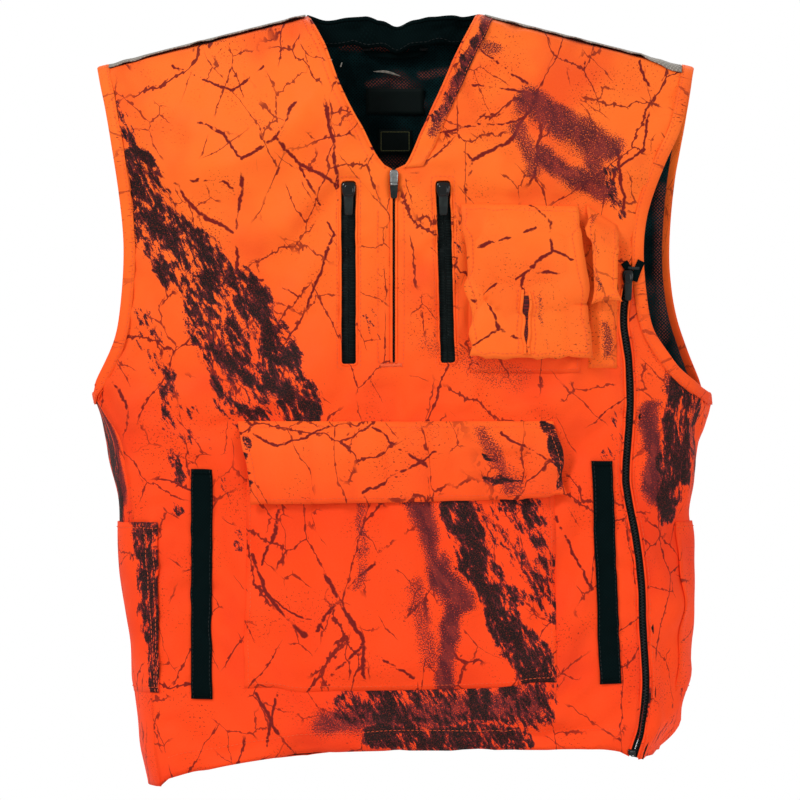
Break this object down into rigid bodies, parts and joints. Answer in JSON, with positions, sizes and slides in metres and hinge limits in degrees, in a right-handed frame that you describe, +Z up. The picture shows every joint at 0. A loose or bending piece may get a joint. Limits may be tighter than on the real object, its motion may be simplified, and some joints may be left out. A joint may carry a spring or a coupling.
{
  "type": "field vest",
  "caption": "Sleeveless pullover field vest in orange camouflage cloth, half zip, zipped chest pockets, flap pockets, side zip and rear game bag.",
  "frame": {"origin": "middle of the hanger loop inside the back of the neck", "axes": "+Z up when it hangs, -Y out of the front, +X to the wearer's left"},
  "size_m": [0.5913, 0.1793, 0.7339],
  "materials": {
    "orange_cloth": "matte",
    "black_mesh": "matte",
    "grey_cloth": "matte",
    "black_cloth": "matte",
    "zip_tape": "matte",
    "zip_coil": "satin",
    "black_plastic": "gloss",
    "silver_metal": "satin",
    "rubber": "matte",
    "hook_and_loop": "matte"
  },
  "bodies": {
    "root": {"front_panel": "orange_cloth", "back_panel": "orange_cloth", "side_panel_right": "orange_cloth", "side_panel_left": "orange_cloth", "front_lining": "black_mesh", "back_lining": "black_mesh", "shoulder_patch_right": "grey_cloth", "shoulder_patch_left": "grey_cloth", "armhole_binding_right": "orange_cloth", "armhole_binding_left": "orange_cloth", "neck_band_left": "orange_cloth", "back_neck_tape": "black_cloth", "hanger_loop": "black_cloth", "size_label": "black_cloth", "neck_label": "black_cloth", "hem_facing_front": "black_cloth", "hem_facing_back": "black_cloth", "front_zip_tape_right": "zip_tape", "front_zip_tape_left": "zip_tape", "front_zip_coil": "zip_coil", "front_zip_bottom_stop": "silver_metal", "placket": "orange_cloth", "chest_zip_tape_right": "zip_tape", "chest_zip_coil_right": "zip_coil", "chest_zip_bag_right": "black_cloth", "chest_zip_tape_left": "zip_tape", "chest_zip_coil_left": "zip_coil", "chest_zip_bag_left": "black_cloth", "hand_pocket_welt_right": "black_cloth", "hand_pocket_bag_right": "black_cloth", "hand_pocket_welt_left": "black_cloth", "hand_pocket_bag_left": "black_cloth", "side_zip_tape_front": "zip_tape", "side_zip_tape_back": "zip_tape", "side_zip_coil": "zip_coil", "side_zip_garage": "black_cloth", "side_zip_retainer_box": "zip_coil", "kangaroo_pocket": "orange_cloth", "kangaroo_loop_strip": "hook_and_loop", "chest_pocket": "orange_cloth", "chest_loop_strip": "hook_and_loop", "radio_pocket": "orange_cloth", "radio_loop_strip": "hook_and_loop", "game_bag": "orange_cloth"},
    "kangaroo_flap": {"kangaroo_flap": "orange_cloth", "kangaroo_hook_strip": "hook_and_loop"},
    "chest_flap": {"chest_flap": "orange_cloth", "chest_hook_strip": "hook_and_loop"},
    "radio_flap": {"radio_flap": "orange_cloth", "radio_hook_strip": "hook_and_loop"},
    "front_zip_slider": {"front_zip_slider": "silver_metal"},
    "front_zip_pull": {"front_zip_pull": "rubber"},
    "chest_zip_slider_right": {"chest_zip_slider_right": "black_plastic"},
    "chest_zip_pull_right": {"chest_zip_pull_right": "rubber"},
    "chest_zip_slider_left": {"chest_zip_slider_left": "black_plastic"},
    "chest_zip_pull_left": {"chest_zip_pull_left": "rubber"},
    "side_zip_slider": {"side_zip_slider": "black_plastic"},
    "side_zip_pull": {"side_zip_pull": "rubber"}
  },
  "joints": [
    {"name": "kangaroo_flap_lift", "type": "hinge", "parent": "root", "child": "kangaroo_flap", "pos_m": [0, -0.1211, -0.352], "axis": [-1, 0, 0], "range_deg": [0, 150]},
    {"name": "chest_flap_lift", "type": "hinge", "parent": "root", "child": "chest_flap", "pos_m": [0.1185, -0.1196, -0.1445], "axis": [-0.9986, -0.0449, 0.027], "range_deg": [0, 150]},
    {"name": "radio_flap_lift", "type": "hinge", "parent": "root", "child": "radio_flap", "pos_m": [0.1965, -0.1134, -0.1565], "axis": [-0.8314, -0.1104, 0.5447], "range_deg": [0, 125]},
    {"name": "front_zip_run", "type": "slide", "parent": "root", "child": "front_zip_slider", "axis": [0, 0, -1], "range_m": [0, 0.16]},
    {"name": "front_zip_pull_swing", "type": "hinge", "parent": "front_zip_slider", "child": "front_zip_pull", "pos_m": [-0.001, -0.1219, -0.1202], "axis": [-1, 0, 0], "range_deg": [0, 160]},
    {"name": "chest_zip_run_right", "type": "slide", "parent": "root", "child": "chest_zip_slider_right", "axis": [0, 0, -1], "range_m": [0, 0.15]},
    {"name": "chest_zip_pull_swing_right", "type": "hinge", "parent": "chest_zip_slider_right", "child": "chest_zip_pull_right", "pos_m": [-0.04402, -0.12132, -0.1332], "axis": [-1, 0.0054, 0], "range_deg": [0, 160]},
    {"name": "chest_zip_run_left", "type": "slide", "parent": "root", "child": "chest_zip_slider_left", "axis": [0.0289, 0.0002, -0.9996], "range_m": [0, 0.15]},
    {"name": "chest_zip_pull_swing_left", "type": "hinge", "parent": "chest_zip_slider_left", "child": "chest_zip_pull_left", "pos_m": [0.04579, -0.12131, -0.1332], "axis": [-0.9996, -0.0059, -0.0289], "range_deg": [0, 160]},
    {"name": "side_zip_run", "type": "slide", "parent": "root", "child": "side_zip_slider", "axis": [0, 0, -1], "range_m": [0, 0.18]},
    {"name": "side_zip_pull_swing", "type": "hinge", "parent": "side_zip_slider", "child": "side_zip_pull", "pos_m": [0.2219, -0.11134, -0.2162], "axis": [-0.9836, -0.1802, 0], "range_deg": [0, 160]}
  ]
}
